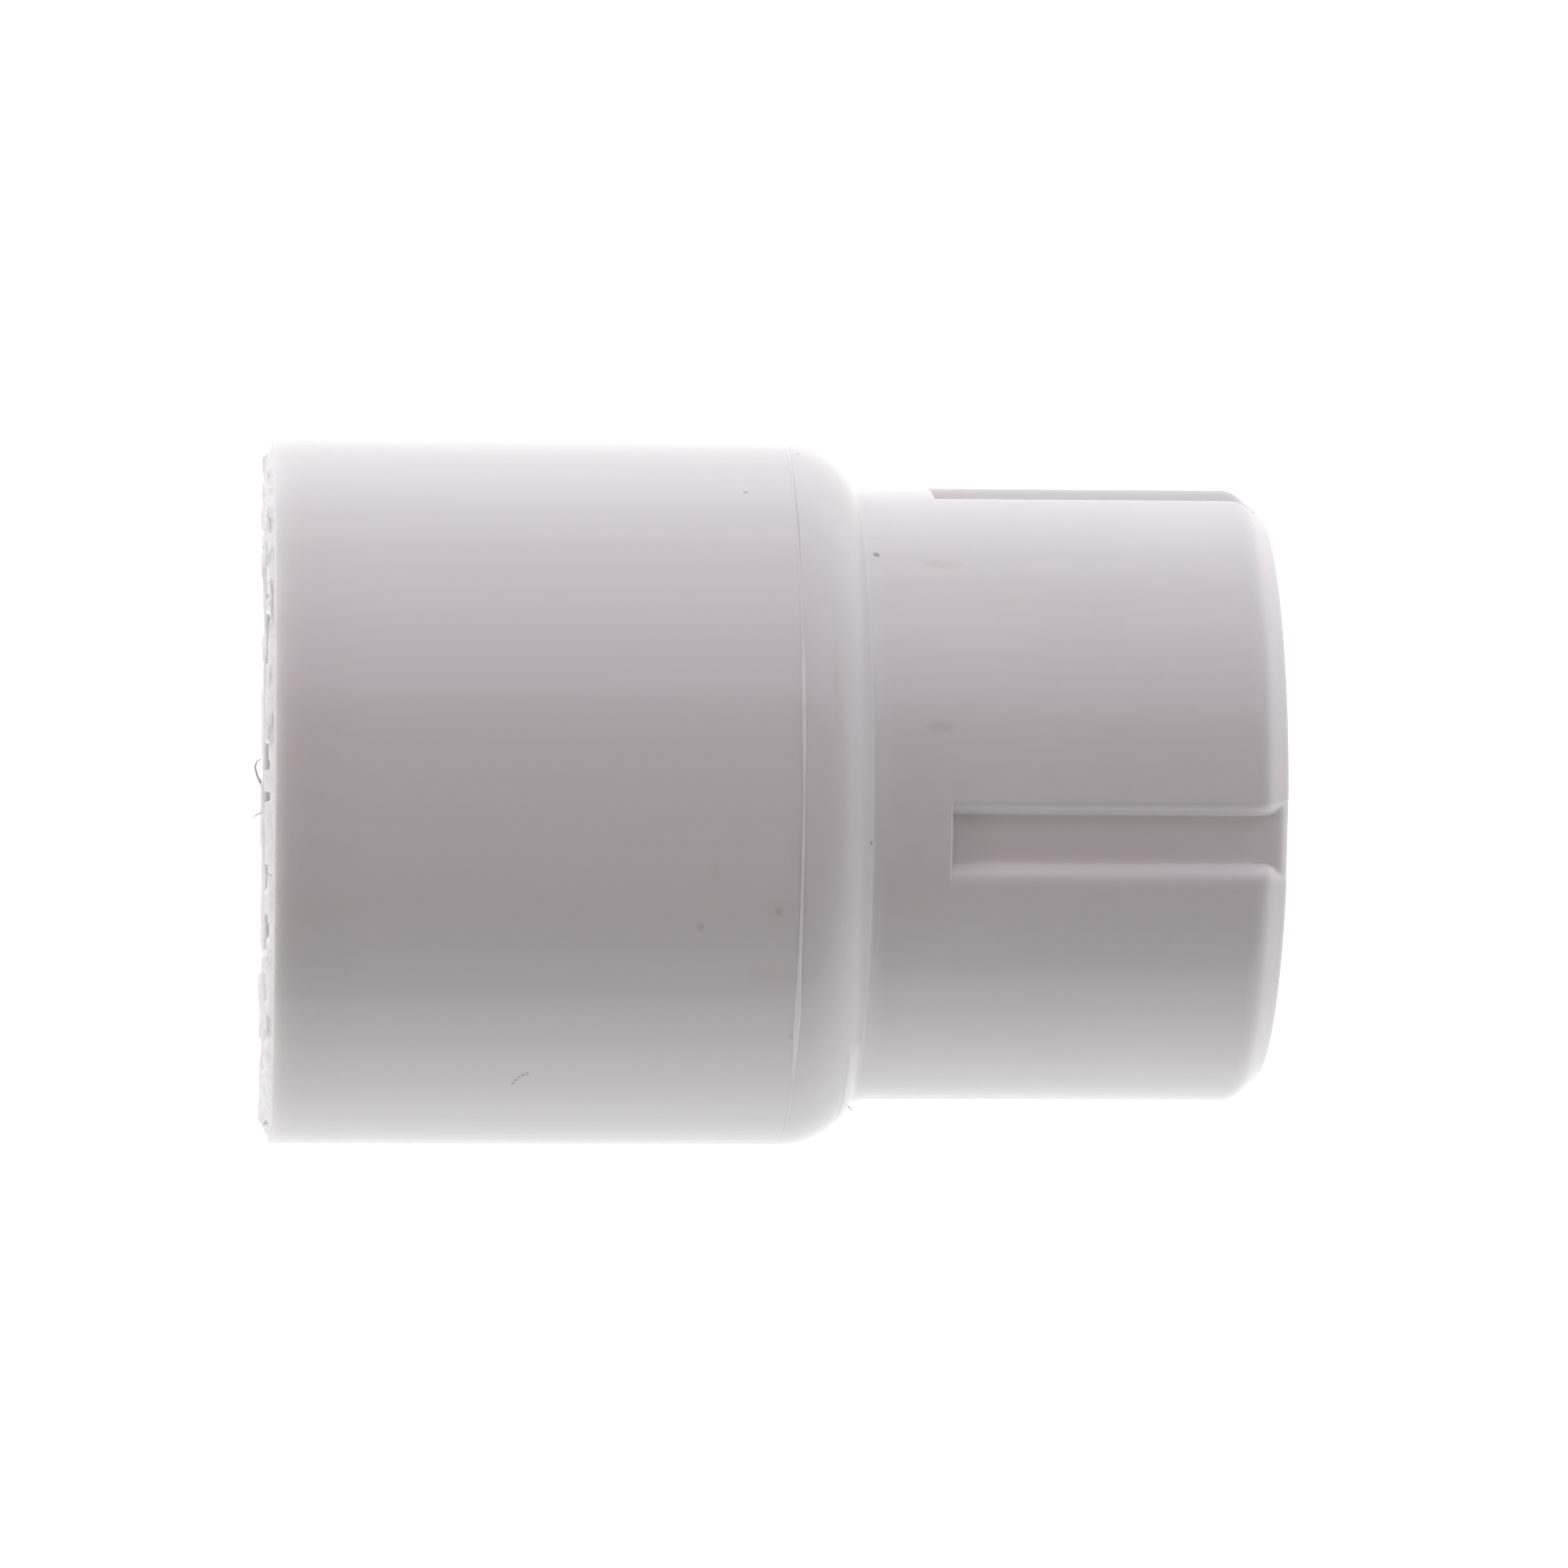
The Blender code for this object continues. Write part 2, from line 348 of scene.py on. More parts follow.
GROOVE_WALL_SLOPE = math.pi / 2 - GROOVE_DRAFT
LEAD_SIDES, LEAD_FALLS = groove_curve([(0.35, math.radians(18)), (1.85, GROOVE_WALL_SLOPE)])
TRAIL_SIDES, TRAIL_FALLS = groove_curve([(1.7, math.radians(30)), (1.7, GROOVE_WALL_SLOPE)])
GROOVE_SIDES = np.concatenate([-TRAIL_SIDES[::-1], LEAD_SIDES])
GROOVE_FALLS = np.concatenate([TRAIL_FALLS[::-1], LEAD_FALLS])


def cap_columns(radius, station, limit, spread):
    """Angles and radii of one row of the cap.

    limit is how deep the grooves may be here. spread 0 spaces the columns evenly, 1 sets them to the grooves.
    """
    past = max(station - GROOVE_DIP_START, 0.0)
    floor = GROOVE_FLOOR - GROOVE_DIP * past**3
    steeper = 1 + GROOVE_FLARE * (max(station - GROOVE_FLARE_START, 0.0) / GROOVE_FLARE_REACH) ** 2
    sides = GROOVE_SIDES
    surface = np.sqrt(radius**2 - sides**2)
    to_floor = np.maximum(surface - floor, 0.0)
    outs = surface - np.minimum(np.minimum(GROOVE_FALLS * steeper, limit), to_floor)
    groove_angles = np.arctan2(sides, outs)
    quarter = 2 * math.pi / GROOVES
    plain = np.linspace(groove_angles[-1], quarter + groove_angles[0], PLAIN_COLUMNS + 2)[1:-1]
    local = np.concatenate([groove_angles, plain])
    count = len(local)
    middle = (len(sides) - 1) / 2
    even = (np.arange(count) - middle) * quarter / count
    local = even + (local - even) * spread
    radii = np.concatenate([np.hypot(sides, outs), np.full(PLAIN_COLUMNS, radius)])
    angles = np.concatenate([GROOVE_ANGLE + index * quarter + local for index in range(GROOVES)])
    return angles, np.tile(radii, GROOVES)


def shoulder_profile():
    """From the nose back: the shallow neck curve, the tight fillet and the round shoulder, all tangent."""
    shoulder_center = (PIPE_R - SHOULDER_ARC, SHOULDER_START)
    inset = NECK_ARC - NECK_FILLET
    fillet_height = NOSE_R + NECK_ARC - inset * math.cos(NECK_ARC_ANGLE)
    rise = fillet_height - shoulder_center[0]
    run = math.sqrt((SHOULDER_ARC + NECK_FILLET) ** 2 - rise**2)
    fillet_center = (fillet_height, SHOULDER_START + run)
    neck_center = (NOSE_R + NECK_ARC, fillet_center[1] + inset * math.sin(NECK_ARC_ANGLE))
    meeting = math.atan2(run, rise)
    flange = math.asin((SEAM + 0.25 - SHOULDER_START) / SHOULDER_ARC)
    neck = arc(neck_center, NECK_ARC, math.pi, math.pi + NECK_ARC_ANGLE, 8)
    fillet = arc(fillet_center, NECK_FILLET, math.pi + NECK_ARC_ANGLE, math.pi + meeting, 8)
    shoulder = arc(shoulder_center, SHOULDER_ARC, meeting, flange, 44)
    return neck + fillet[1:] + shoulder[1:]


def eased(value, low, high):
    """0 below low, 1 above high, and a smooth step between them."""
    share = np.clip((value - low) / (high - low), 0.0, 1.0)
    return share * share * (3 - 2 * share)


def neck_flash(angles, station):
    """A low smear of mould flash along the neck, on the -Y side from 50 to 90 degrees."""
    degrees = np.degrees(np.mod(angles + math.pi, 2 * math.pi) - math.pi)
    along = eased(degrees, -92.0, -89.0) * (1 - eased(degrees, -51.5, -49.5))
    across = eased(station, *FLASH_RISE) * (1 - eased(station, *FLASH_FALL))
    return 0.13 * along * across


def end_face_rows(add):
    """The flat end, with the small round recess that the gate left in its middle."""
    gate_depth = 0.35
    gate = ((1.0, 0.05), (1.4, 0.06), (1.5, gate_depth), (2.6, gate_depth), (2.85, 0.04), (3.0, 0.0))
    for radius, drop in gate:
        add(radius, NOSE_END - drop)
    for radius in (5.0, 8.0, 11.0, 14.0, 17.0, 19.5, 21.5):
        add(radius, NOSE_END)


def groove_end_rows(add):
    """The closed ends of the grooves, from the floor back: hollow corner, upright wall, rounded edge."""
    corner = GROOVE_END_CORNER
    edge = GROOVE_END_EDGE
    deepest = NOSE_R - GROOVE_FLOOR
    for step in range(7):
        turn = math.pi / 2 * (1 - step / 6)
        add(GROOVE_START + corner * (1 - math.cos(turn)), deepest - corner * (1 - math.sin(turn)))
    for step in range(6):
        turn = math.pi / 2 * step / 5
        add(GROOVE_START - 0.01 - edge * (1 - math.cos(turn)), edge * (1 - math.sin(turn)))


def inside_rows(add):
    """Flange face, tail and the blind bore up to the middle of the end wall."""
    flange = SEAM + 0.1
    tail = [
        (PIPE_R - 0.03, SEAM + 0.14), (PIPE_R - 0.12, flange), (27.5, flange), (TAIL_R, flange),
        (TAIL_R, 30.0), (TAIL_R, TAIL_END + 0.7), (TAIL_R - 0.25, TAIL_END + 0.3),
        (TAIL_R - 0.6, TAIL_END + 0.08), (TAIL_R - 0.9, TAIL_END), (TAIL_BORE_R + 0.25, TAIL_END),
        (TAIL_BORE_R + 0.08, TAIL_END + 0.06), (TAIL_BORE_R, TAIL_END + 0.22),
    ]
    for radius, station in tail:
        add(radius, station)
    wall = NOSE_END - END_WALL
    for share in np.linspace(0.08, 0.95, 14):
        radius = TAIL_BORE_R + (NOSE_BORE_R - TAIL_BORE_R) * share
        add(radius, TAIL_END + (wall - BORE_FILLET - TAIL_END) * share)
    fillet_center = (NOSE_BORE_R - BORE_FILLET, wall - BORE_FILLET)
    for radius, station in arc(fillet_center, BORE_FILLET, 0.0, math.pi / 2, 9):
        add(radius, station)
    for radius in (15.0, 10.0, 5.0, 2.0):
        add(radius, wall)


def cap_rows():
    """Rows of the cap's surface as (angles, stations, radii), from the end face's middle to the bore."""
    rows = []

    def grooved(radius, station, spread=1.0, limit=GROOVE_FULL):
        angles, radii = cap_columns(radius, station, limit, spread)
        rows.append((angles, np.full(len(angles), station), radii + neck_flash(angles, station)))

    def even(radius, station):
        angles = cap_columns(NOSE_R, GROOVE_START, 0.0, 0.0)[0]
        rows.append((angles, np.full(len(angles), station), np.full(len(angles), radius)))

    end_face_rows(even)
    rounding = arc((NOSE_R - NOSE_ARC, NOSE_ARC_START), NOSE_ARC, NOSE_CONE, 0.0, 12)
    cone_top, cone_station = rounding[0]
    edge_r = cone_top - (NOSE_END - cone_station) * math.tan(NOSE_CONE)
    for inwards, back in ((0.16, 0.0), (0.04, 0.02), (-0.04, 0.09)):
        grooved(edge_r - inwards, NOSE_END - back)
    for share in np.linspace(0.1, 0.93, 8):
        station = NOSE_END + (cone_station - NOSE_END) * share
        grooved(edge_r + (NOSE_END - station) * math.tan(NOSE_CONE), station)
    for radius, station in rounding:
        grooved(radius, station)
    for station in np.linspace(80.4, GROOVE_START + 1.9, 26):
        grooved(NOSE_R, station)
    groove_end_rows(lambda station, limit: grooved(NOSE_R, station, 1.0, limit))
    evening_out = (
        (55.6, 1.0), (55.2, 0.9), (54.8, 0.7), (54.2, 0.45), (53.6, 0.2), (53.0, 0.05), (52.2, 0.0),
    )
    for station, spread in evening_out:
        grooved(NOSE_R, station, spread, 0.0)
    for radius, station in shoulder_profile():
        grooved(radius, station, 0.0, 0.0)
    inside_rows(even)
    return rows


def make_cap(material):
    angles, stations, radii = (np.array(part) for part in zip(*cap_rows()))
    grid = place(stations, radii, angles)
    poles = (place(NOSE_END - 0.05, 0.0, 0.0), place(NOSE_END - END_WALL, 0.0, 0.0))
    curl = [(49.4, 26.5, -1.583), (49.75, 26.95, -1.585), (50.0, 27.3, -1.592), (50.2, 26.9, -1.588)]
    shells = [grid_mesh(grid, False, poles), whisker([place(*point) for point in curl], 0.09)]
    cap = finish_mesh("cap_moulding", shells, material, math.radians(32))
    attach(cap, "root")
    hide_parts("cap_body")
    return cap


# ---------------------------------------------------------------- cement ring
BEAD_COLUMNS = 720
BEAD_SIDES = 10


def make_bead(material):
    """A low, uneven half-round line of set cement that stands a hair proud, but not where the part rests."""
    n = BEAD_COLUMNS
    angles = np.arange(n) * 2 * math.pi / n
    degrees = np.degrees(np.mod(angles + math.pi, 2 * math.pi) - math.pi)
    swell = np.exp(-((degrees + 38) / 6) ** 2)
    shown = eased(degrees, -54.0, -46.0) * (1 - eased(degrees, 22.0, 30.0))
    wide = 0.14 + plateaus(41, 30, -0.02, 0.03, n, 15) + 0.12 * swell
    proud = (0.075 + plateaus(43, 26, -0.015, 0.02, n, 15) + 0.02 * swell) * shown
    upright = np.maximum(np.cos(angles), 0.5)
    proud = np.minimum(proud, PIPE_R / upright - PIPE_R)  # never above the top of the pipe
    shift = plateaus(44, 24, -0.03, 0.03, n, 21)
    rows_s = []
    rows_r = []
    for side in range(BEAD_SIDES + 1):
        turn = math.pi * side / BEAD_SIDES
        rows_s.append(SEAM + shift + wide * math.cos(turn))
        rows_r.append(PIPE_R - 0.04 + (proud + 0.035) * math.sin(turn))
    for station, radius in ((-0.09, 29.2), (0.09, 29.2)):
        rows_s.append(np.full(n, SEAM + station))
        rows_r.append(np.full(n, radius))
    grid = place(np.array(rows_s), np.array(rows_r), angles[None, :])
    ring = grid_mesh(grid, loop=True)
    bead = finish_mesh("cement_ring", [ring], material, math.radians(50))
    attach(bead, "root")
    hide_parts("cement_bead")
    return bead


# ---------------------------------------------------------------- materials
class Nodes:
    """Short ways to add and join shader nodes in one material."""

    def __init__(self, name):
        self.material = bpy.data.materials.new(name)
        self.material.use_nodes = True
        self.tree = self.material.node_tree
        self.shader = self.tree.nodes["Principled BSDF"]
        coordinates = self.tree.nodes.new("ShaderNodeTexCoord")
        self.place = self.add("ShaderNodeVectorMath", {0: coordinates.outputs["Object"]}, operation="SCALE")
        self.place.inputs["Scale"].default_value = 1 / MM
        self.millimetres = self.place.outputs["Vector"]

    def add(self, kind, inputs, **settings):
        node = self.tree.nodes.new(kind)
        for key, value in settings.items():
            setattr(node, key, value)
        for key, value in inputs.items():
            if isinstance(value, bpy.types.NodeSocket):
                self.tree.links.new(value, node.inputs[key])
            else:
                node.inputs[key].default_value = value
        return node

    def stretched(self, scale):
        """The place in millimetres, with each direction scaled."""
        node = self.add("ShaderNodeVectorMath", {0: self.millimetres, 1: scale}, operation="MULTIPLY")
        return node.outputs["Vector"]

    def noise(self, scale, detail=2.0, stretch=(1.0, 1.0, 1.0), roughness=0.5):
        place_in = self.stretched(stretch)
        node = self.add("ShaderNodeTexNoise", {"Vector": place_in, "Scale": scale, "Detail": detail,
                                               "Roughness": roughness})
        return node.outputs["Fac"]

    def fit(self, value, low, high, to_low, to_high, smooth=False):
        kind = "SMOOTHSTEP" if smooth else "LINEAR"
        node = self.add("ShaderNodeMapRange", {"Value": value, "From Min": low, "From Max": high,
                                               "To Min": to_low, "To Max": to_high}, interpolation_type=kind)
        return node.outputs["Result"]

    def math(self, operation, first, second=0.0):
        return self.add("ShaderNodeMath", {0: first, 1: second}, operation=operation).outputs[0]

    def mix(self, share, first, second, blend="MIX"):
        ends = {"Factor": share, 6: first, 7: second}
        return self.add("ShaderNodeMix", ends, data_type="RGBA", blend_type=blend).outputs[2]

    def blob(self, station, radius, degrees, size, stretch=(1.0, 1.0, 1.0)):
        """1 at a spot on the part, falling softly to 0 at size millimetres from it."""
        center = [float(value) / MM for value in place(station, radius, math.radians(degrees))]
        apart = self.add("ShaderNodeVectorMath", {0: self.millimetres, 1: center}, operation="SUBTRACT")
        sizes = {0: apart.outputs["Vector"], 1: stretch}
        scaled = self.add("ShaderNodeVectorMath", sizes, operation="MULTIPLY")
        away = self.add("ShaderNodeVectorMath", {0: scaled.outputs["Vector"]}, operation="LENGTH")
        return self.fit(away.outputs["Value"], size * 0.25, size, 1.0, 0.0, smooth=True)


PVC_DULL = (0.775, 0.775, 0.775, 1.0)
PVC_CLEAR = (0.80, 0.80, 0.80, 1.0)
PVC_BRIGHT = (0.88, 0.865, 0.87, 1.0)
BROWN = (0.33, 0.22, 0.15, 1.0)
YELLOWED = (0.74, 0.66, 0.56, 1.0)
DARK = (0.10, 0.08, 0.085, 1.0)
PALE = (0.93, 0.92, 0.92, 1.0)
GROOVE_PALE = (0.87, 0.87, 0.87, 1.0)  # stands in for light scattered inside the groove, not for a real tint
# torn lip tones: partly stress-whitened plastic, partly a painted glow of light through the thin lip
TORN_DULL = (0.88, 0.87, 0.86, 1.0)
TORN_BRIGHT = (0.97, 0.965, 0.96, 1.0)
# the proud bead's pale tones: partly the cement's own, partly a painted highlight along the bead
CEMENT_DULL = (0.92, 0.915, 0.915, 1.0)
CEMENT_BRIGHT = (0.97, 0.965, 0.965, 1.0)
CEMENT_FLUSH = (0.8, 0.795, 0.795, 1.0)
BURR_TAN = (0.62, 0.55, 0.45, 1.0)
BURR_PALE = (0.8, 0.77, 0.72, 1.0)


def marked(nodes, color, marks):
    """The colour with a soft spot for each mark: (share, colour, blob arguments)."""
    broken = nodes.fit(nodes.noise(3.5, 2.0), 0.38, 0.58, 0.55, 1.0)
    for share, spot, where in marks:
        mask = nodes.math("MULTIPLY", nodes.math("MULTIPLY", nodes.blob(*where), share), broken)
        color = nodes.mix(mask, color, spot)
    return color


def plastic_base(nodes, stretch, marks):
    """Shared white PVC: faint clouding, a satin skin with fine grain, and its own marks."""
    clouds = nodes.noise(0.06, 2.0, stretch)
    fine = nodes.noise(0.5, 1.0, stretch)
    color = nodes.mix(nodes.fit(clouds, 0.35, 0.65, 0.0, 1.0), PVC_DULL, PVC_CLEAR)
    color = nodes.mix(nodes.fit(fine, 0.3, 0.7, 0.0, 0.12), color, PVC_BRIGHT)
    return marked(nodes, color, marks)


def pipe_material():
    """Extruded pipe: fine lines along its length, worn satin skin, rough at the saw cut. The torn lip is
    paler, partly stress-whitened and partly a painted glow of light through the thin plastic, and a faint
    painted glow pales the skin for a few millimetres behind the cut.
    """
    nodes = Nodes("pipe_pvc_white")
    lines = (0.05, 1.0, 1.0)
    marks = [
        (0.3, BROWN, (41.63, PIPE_R, -18.9, 0.5)),
        (0.22, YELLOWED, (41.63, PIPE_R, -18.9, 1.5)),
        (0.28, BROWN, (35.14, PIPE_R, -21.6, 0.45, (1.0, 0.7, 1.0))),
        (0.22, YELLOWED, (41.2, PIPE_R, -30.2, 2.4, (0.8, 1.6, 1.0))),
        (0.2, DARK, (43.2, PIPE_R, -42.3, 0.4)),
        (0.25, YELLOWED, (36.4, PIPE_R, -12.6, 1.1)),
        (0.5, DARK, (20.1, PIPE_R, -54.0, 0.26)),
        (0.5, DARK, (20.3, PIPE_R, -53.1, 0.26)),
        (0.5, DARK, (20.58, PIPE_R, -52.4, 0.26)),
        (0.45, DARK, (20.9, PIPE_R, -51.8, 0.26)),
        (0.4, DARK, (21.25, PIPE_R, -51.4, 0.26)),
        (0.5, DARK, (39.5, PIPE_R, 57.0, 0.3)),
    ]
    color = plastic_base(nodes, lines, marks)
    split = nodes.add("ShaderNodeSeparateXYZ", {0: nodes.millimetres})
    station = split.outputs["X"]
    # painted glow: the skin within about 3 mm of the cut is paled a little, standing in for light shining
    # through the plastic near the cut
    painted_cut_glow = nodes.fit(station, RIM_X + 0.2, RIM_X + 3.2, 1.0, 0.0, smooth=True)
    color = nodes.mix(nodes.math("MULTIPLY", painted_cut_glow, 0.1), color, PALE)
    cut = nodes.fit(station, RIM_X - 0.12, RIM_X + 0.06, 1.0, 0.0)
    crumbs = nodes.noise(1.6, 2.0)
    # the torn lip is paled partly for stress whitening and partly as a painted glow of light through the thin
    # torn plastic
    torn_whitening_and_painted_glow = nodes.mix(nodes.fit(crumbs, 0.35, 0.65, 0.0, 1.0), TORN_DULL, TORN_BRIGHT)
    color = nodes.mix(cut, color, torn_whitening_and_painted_glow)
    nodes.tree.links.new(color, nodes.shader.inputs["Base Color"])

    grain = nodes.noise(1.2, 2.0, lines)
    rough = nodes.fit(grain, 0.3, 0.7, 0.18, 0.26)
    rough = nodes.math("ADD", rough, nodes.math("MULTIPLY", cut, 0.45))
    nodes.tree.links.new(rough, nodes.shader.inputs["Roughness"])
    streaks = nodes.math("MULTIPLY", grain, 0.003)
    pits = nodes.math("MULTIPLY", nodes.noise(2.5, 1.0), 0.0008)
    torn = nodes.math("MULTIPLY", nodes.math("MULTIPLY", crumbs, cut), 0.08)
    height = nodes.math("ADD", nodes.math("ADD", streaks, pits), torn)
    bump = nodes.add("ShaderNodeBump", {"Height": height, "Distance": MM, "Strength": 1.0})
    nodes.tree.links.new(bump.outputs["Normal"], nodes.shader.inputs["Normal"])
    finish_plastic(nodes.shader)
    glow = nodes.fit(station, RIM_X + 3.0, RIM_X + 9.0, 1.0, 0.0, smooth=True)
    nodes.tree.links.new(glow, nodes.shader.inputs["Subsurface Weight"])
    depth = nodes.fit(station, RIM_X - 0.3, RIM_X, 5.0 * MM, 1.6 * MM)
    nodes.tree.links.new(depth, nodes.shader.inputs["Subsurface Scale"])
    nodes.shader.inputs["Subsurface Radius"].default_value = (1.0, 0.9, 0.85)
    return nodes.material


def burr_material():
    """The torn chips and hairs on the lip: matt and slightly yellowed, with a fine crumbled skin."""
    nodes = Nodes("pipe_pvc_burr")
    crumbs = nodes.noise(4.0, 2.0)
    color = nodes.mix(nodes.fit(crumbs, 0.35, 0.65, 0.0, 1.0), BURR_TAN, BURR_PALE)
    nodes.tree.links.new(color, nodes.shader.inputs["Base Color"])
    nodes.tree.links.new(nodes.fit(crumbs, 0.3, 0.7, 0.45, 0.7), nodes.shader.inputs["Roughness"])
    height = nodes.math("MULTIPLY", crumbs, 0.03)
    bump = nodes.add("ShaderNodeBump", {"Height": height, "Distance": MM, "Strength": 1.0})
    nodes.tree.links.new(bump.outputs["Normal"], nodes.shader.inputs["Normal"])
    finish_plastic(nodes.shader)
    return nodes.material


def cap_material():
    """Moulded cap: an even satin skin, paler on the smear of flash, with painted light paling the grooves,
    and small marks.
    """
    nodes = Nodes("cap_pvc_white")
    marks = [
        (0.9, DARK, (50.5, NOSE_R, 49.8, 0.38, (1.0, 0.8, 1.0))),
        (0.6, DARK, (47.75, 28.6, 80.3, 0.35)),
        (0.5, DARK, (44.43, 30.0, 73.6, 0.3)),
        (0.6, DARK, (49.44, 26.8, -8.7, 0.26)),
        (0.5, PALE, (74.81, NOSE_R, 24.4, 0.3)),
        (0.3, YELLOWED, (50.6, NOSE_R, 55.0, 0.6)),
        (0.16, BROWN, (55.3, NOSE_R, 12.4, 1.0, (0.6, 1.6, 1.6))),
        (0.14, BROWN, (55.9, NOSE_R, 47.4, 1.6, (0.7, 2.0, 2.0))),
    ]
    color = plastic_base(nodes, (1.0, 1.0, 1.0), marks)
    split = nodes.add("ShaderNodeSeparateXYZ", {0: nodes.millimetres})
    flash = nodes.math("MULTIPLY", nodes.fit(split.outputs["X"], RIM_X + 48.25, RIM_X + 48.4, 0.0, 1.0),
                       nodes.fit(split.outputs["X"], RIM_X + 49.4, RIM_X + 49.6, 1.0, 0.0))
    flash = nodes.math("MULTIPLY", flash, nodes.fit(split.outputs["Y"], -21.3, -20.8, 0.7, 0.0))
    color = nodes.mix(flash, color, PALE)
    to_axis = {0: nodes.millimetres, 1: (0.0, 0.0, AXIS_Z)}
    from_axis = nodes.add("ShaderNodeVectorMath", to_axis, operation="SUBTRACT").outputs["Vector"]
    without_x = {0: from_axis, 1: (0.0, 1.0, 1.0)}
    across = nodes.add("ShaderNodeVectorMath", without_x, operation="MULTIPLY").outputs["Vector"]
    radius = nodes.add("ShaderNodeVectorMath", {0: across}, operation="LENGTH").outputs["Value"]
    # painted light: groove floors and walls deep in the nose are paled, standing in for light scattered
    # inside the grooves
    painted_groove_light = nodes.math("MULTIPLY", nodes.fit(radius, 25.0, 26.2, 1.0, 0.0, smooth=True),
                       nodes.fit(split.outputs["X"], RIM_X + 57.2, RIM_X + 60.5, 0.0, 1.0, smooth=True))
    color = nodes.mix(painted_groove_light, color, GROOVE_PALE)
    nodes.tree.links.new(color, nodes.shader.inputs["Base Color"])
    grain = nodes.noise(0.8, 2.0)
    nodes.tree.links.new(nodes.fit(grain, 0.3, 0.7, 0.18, 0.26), nodes.shader.inputs["Roughness"])
    ripple = nodes.math("MULTIPLY", nodes.noise(0.35, 2.0), 0.008)
    height = nodes.math("ADD", ripple, nodes.math("MULTIPLY", nodes.noise(2.0, 1.0), 0.0008))
    bump = nodes.add("ShaderNodeBump", {"Height": height, "Distance": MM, "Strength": 1.0})
    nodes.tree.links.new(bump.outputs["Normal"], nodes.shader.inputs["Normal"])
    finish_plastic(nodes.shader)
    return nodes.material


def cement_material():
    """Set solvent cement: clear over white, glossier than the plastic, with small runs. Where the bead stands
    proud it is paler, partly its own tone and partly a painted highlight along the bead; where it lies flush
    it takes the plastic's tone.
    """
    nodes = Nodes("set_cement_clear")
    runs = nodes.noise(0.8, 4.0)
    # paler where proud: partly the cement's own tone, partly a painted highlight along the bead
    color = nodes.mix(nodes.fit(runs, 0.35, 0.65, 0.0, 1.0), CEMENT_DULL, CEMENT_BRIGHT)
    across = nodes.add("ShaderNodeSeparateXYZ", {0: nodes.millimetres}).outputs["Y"]
    flush = nodes.math("MAXIMUM", nodes.fit(across, -25.0, -20.5, 1.0, 0.0, smooth=True),
                       nodes.fit(across, 9.0, 14.0, 0.0, 1.0, smooth=True))
    color = nodes.mix(flush, color, CEMENT_FLUSH)
    nodes.tree.links.new(color, nodes.shader.inputs["Base Color"])
    nodes.tree.links.new(nodes.fit(runs, 0.3, 0.7, 0.14, 0.26), nodes.shader.inputs["Roughness"])
    bump = nodes.add("ShaderNodeBump", {"Height": nodes.math("MULTIPLY", nodes.noise(3.0, 3.0), 0.02),
                                        "Distance": MM, "Strength": 1.0})
    nodes.tree.links.new(bump.outputs["Normal"], nodes.shader.inputs["Normal"])
    finish_plastic(nodes.shader)
    return nodes.material


def finish_plastic(shader):
    """What is the same on every piece: the gloss of PVC."""
    shader.inputs["IOR"].default_value = 1.53
    shader.inputs["Specular IOR Level"].default_value = 0.5


# ---------------------------------------------------------------- stage, light and camera
TABLE_NEAR = (0.755, 0.79, 0.775, 1.0)  # what the light table gives off under the part
TABLE_NEAR_REACH = 80.0
TABLE_FAR = (0.93, 0.95, 0.96, 1.0)
TABLE_DIM = (0.45, 0.46, 0.47, 1.0)  # past the table's edge on the +Y side
TABLE_EDGE = 205.0
SKY_TOP = (0.44, 0.375, 0.375, 1.0)
SKY_MIDDLE = (0.12, 0.10, 0.10, 1.0)
SKY_LOW = (0.92, 0.94, 0.955, 1.0)
SKY_NEAR_SIDE = 1.04  # how bright the sky is on the -Y side
SKY_FAR_SIDE = 0.93  # and on the +Y side, where the soft box stands
SKY_LOW_TOP = math.radians(20)
SKY_MIDDLE_TOP = math.radians(60)
BOX_COLOR = (1.0, 0.885, 0.975)
BOX_RADIANCE = 0.9
BOX_DISTANCE = 1.2


def make_floor():
    """A pale light table: less bright under the part, and dim past its edge on the +Y side."""
    mesh = bpy.data.meshes.new("floor")
    reach = 6.0
    corners = [(-reach, -reach, 0), (reach, -reach, 0), (reach, reach, 0), (-reach, reach, 0)]
    mesh.from_pydata(corners, [], [(0, 1, 2, 3)])
    floor = bpy.data.objects.new("floor", mesh)
    bpy.context.scene.collection.objects.link(floor)
    nodes = Nodes("light_table")
    away = nodes.add("ShaderNodeVectorMath", {0: nodes.millimetres}, operation="LENGTH")
    inner, outer = TABLE_NEAR_REACH - 10, TABLE_NEAR_REACH + 10
    share = nodes.fit(away.outputs["Value"], inner, outer, 0.0, 1.0, smooth=True)
    glow = nodes.mix(share, TABLE_NEAR, TABLE_FAR)
    across = nodes.add("ShaderNodeSeparateXYZ", {0: nodes.millimetres}).outputs["Y"]
    past = nodes.fit(across, TABLE_EDGE, TABLE_EDGE + 4, 0.0, 1.0)
    fading = nodes.fit(across, TABLE_EDGE + 120, TABLE_EDGE + 260, 1.0, 0.0, smooth=True)
    past = nodes.math("MULTIPLY", past, fading)
    glow = nodes.mix(past, glow, TABLE_DIM)
    nodes.tree.links.new(glow, nodes.shader.inputs["Emission Color"])
    nodes.shader.inputs["Emission Strength"].default_value = 1.0
    nodes.shader.inputs["Base Color"].default_value = (0.9, 0.9, 0.9, 1.0)
    nodes.shader.inputs["Roughness"].default_value = 0.6
    mesh.materials.append(nodes.material)


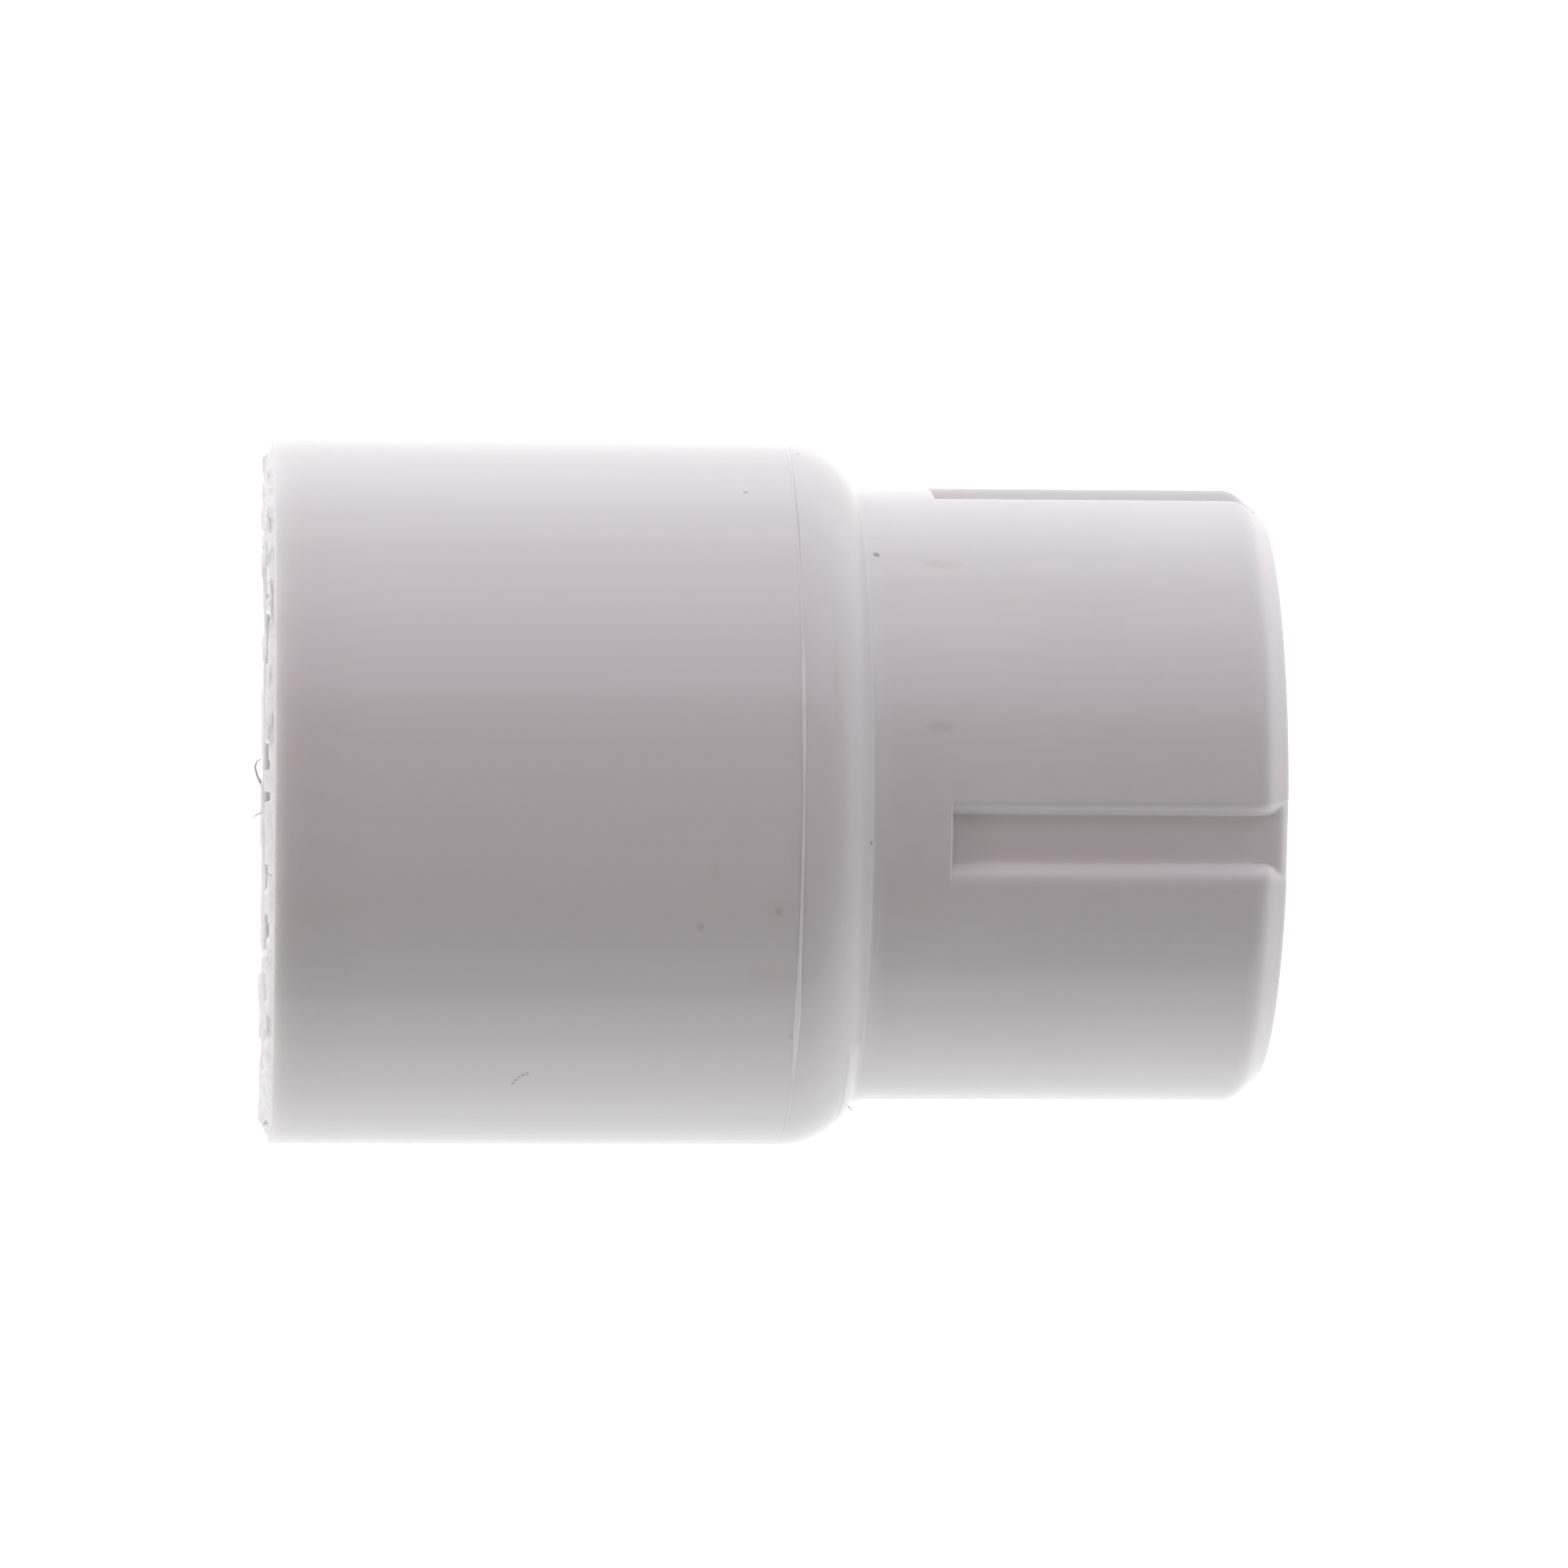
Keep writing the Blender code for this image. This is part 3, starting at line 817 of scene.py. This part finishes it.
def make_sky():
    """Bright all round near the horizon, dim higher up, dark overhead where the camera stands."""
    world = bpy.data.worlds.new("soft_sky")
    bpy.context.scene.world = world
    world.use_nodes = True
    tree = world.node_tree
    coordinates = tree.nodes.new("ShaderNodeTexCoord")
    split = tree.nodes.new("ShaderNodeSeparateXYZ")
    tree.links.new(coordinates.outputs["Generated"], split.inputs[0])
    ramp = tree.nodes.new("ShaderNodeValToRGB")
    tree.links.new(split.outputs["Z"], ramp.inputs[0])
    stops = [(math.sin(SKY_LOW_TOP - 0.05), SKY_LOW), (math.sin(SKY_LOW_TOP + 0.05), SKY_MIDDLE),
             (math.sin(SKY_MIDDLE_TOP - 0.05), SKY_MIDDLE), (math.sin(SKY_MIDDLE_TOP + 0.05), SKY_TOP)]
    while len(ramp.color_ramp.elements) < len(stops):
        ramp.color_ramp.elements.new(1.0)
    for element, (height, color) in zip(ramp.color_ramp.elements, stops):
        element.position = height
        element.color = color
    tree.links.new(ramp.outputs["Color"], tree.nodes["Background"].inputs["Color"])
    sides = tree.nodes.new("ShaderNodeMapRange")
    sides.inputs["From Min"].default_value = -1.0
    sides.inputs["To Min"].default_value = SKY_NEAR_SIDE
    sides.inputs["To Max"].default_value = SKY_FAR_SIDE
    tree.links.new(split.outputs["Y"], sides.inputs["Value"])
    tree.links.new(sides.outputs["Result"], tree.nodes["Background"].inputs["Strength"])


def soft_box():
    """One large soft box on the +Y side, from 20 to 60 degrees up."""
    data = bpy.data.lights.new("soft_box", "AREA")
    data.shape = "RECTANGLE"
    data.size = 2 * BOX_DISTANCE * math.tan(math.radians(42))
    data.size_y = 2 * BOX_DISTANCE * math.tan(math.radians(20))
    data.energy = BOX_RADIANCE * math.pi * data.size * data.size_y
    data.color = BOX_COLOR
    lamp = bpy.data.objects.new("soft_box", data)
    up = math.radians(40)
    lamp.location = (0.0, BOX_DISTANCE * math.cos(up), BOX_DISTANCE * math.sin(up))
    lamp.rotation_euler = (up - math.pi / 2, 0.0, 0.0)
    lamp.visible_camera = False
    bpy.context.scene.collection.objects.link(lamp)


CAMERA_HEIGHT = 785.6  # above the part's axis
CAMERA_STATION = -11.42
CAMERA_SIDE = 0.79
CAMERA_YAW = math.radians(4.035)
CAMERA_ROLL = math.radians(0.286)
CAMERA_LENS = 210.5


def make_camera():
    """Looks down on the part, almost square to its axis, with the nose to the right."""
    data = bpy.data.cameras.new("camera")
    data.sensor_width = 36.0
    data.lens = CAMERA_LENS
    data.clip_start = 0.05
    data.clip_end = 20.0
    camera = bpy.data.objects.new("camera", data)
    bpy.context.scene.collection.objects.link(camera)
    lean = Matrix.Rotation(-CAMERA_YAW, 4, "Y")
    roll = Matrix.Rotation(CAMERA_ROLL, 4, "Z")
    spot = Vector((RIM_X + CAMERA_STATION, CAMERA_SIDE, AXIS_Z + CAMERA_HEIGHT)) * MM
    camera.matrix_world = Matrix.Translation(spot) @ lean @ roll
    bpy.context.scene.camera = camera


def set_colours():
    """Plain view transform, so that the table clips to white."""
    view = bpy.context.scene.view_settings
    view.view_transform = "Standard"
    view.look = "None"
    view.exposure = 0.0
    view.gamma = 1.0


make_camera()
set_colours()
make_floor()
make_sky()
soft_box()
make_stub(pipe_material(), burr_material())
make_cap(cap_material())
make_bead(cement_material())
